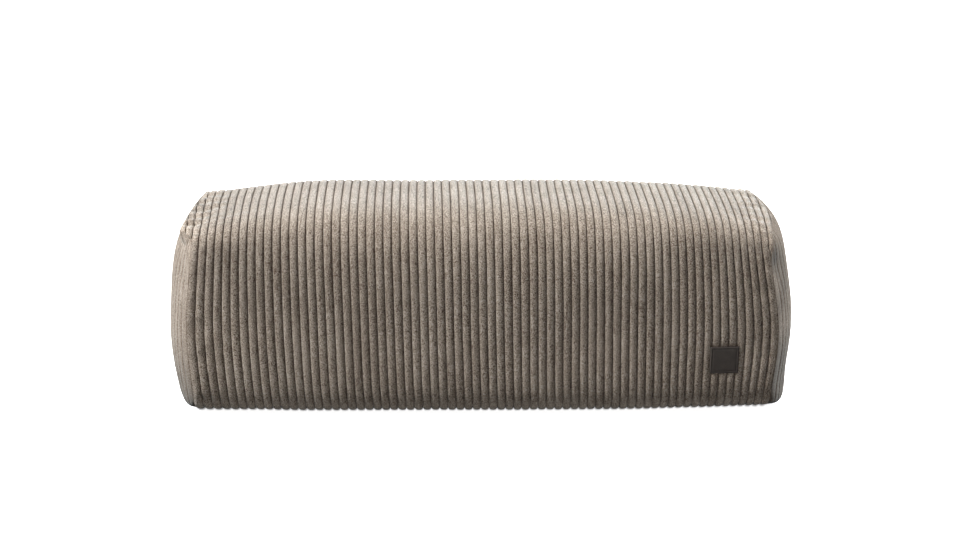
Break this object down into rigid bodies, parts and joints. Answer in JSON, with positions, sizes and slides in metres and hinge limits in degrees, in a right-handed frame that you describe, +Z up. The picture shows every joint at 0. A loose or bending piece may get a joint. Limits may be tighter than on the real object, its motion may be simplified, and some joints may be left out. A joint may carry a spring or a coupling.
{
  "type": "lounge cushion",
  "caption": "Long block-shaped lounge cushion in wide-wale corduroy, crowned and filled, with sewn end panels and a small bare leather patch.",
  "frame": {"origin": "on the floor under the middle of the cushion", "axes": "+X along the cushion's length to its right end, -Y to its front, +Z up"},
  "size_m": [0.9161, 0.268, 0.305],
  "materials": {
    "corduroy": "brushed wide-wale corduroy pile, soft sheen",
    "leather": "dark brown, fine grain, matt"
  },
  "bodies": {
    "root": {"cushion_body": "corduroy", "end_panel_left": "corduroy", "end_panel_right": "corduroy", "label_patch": "leather"}
  },
  "joints": []
}
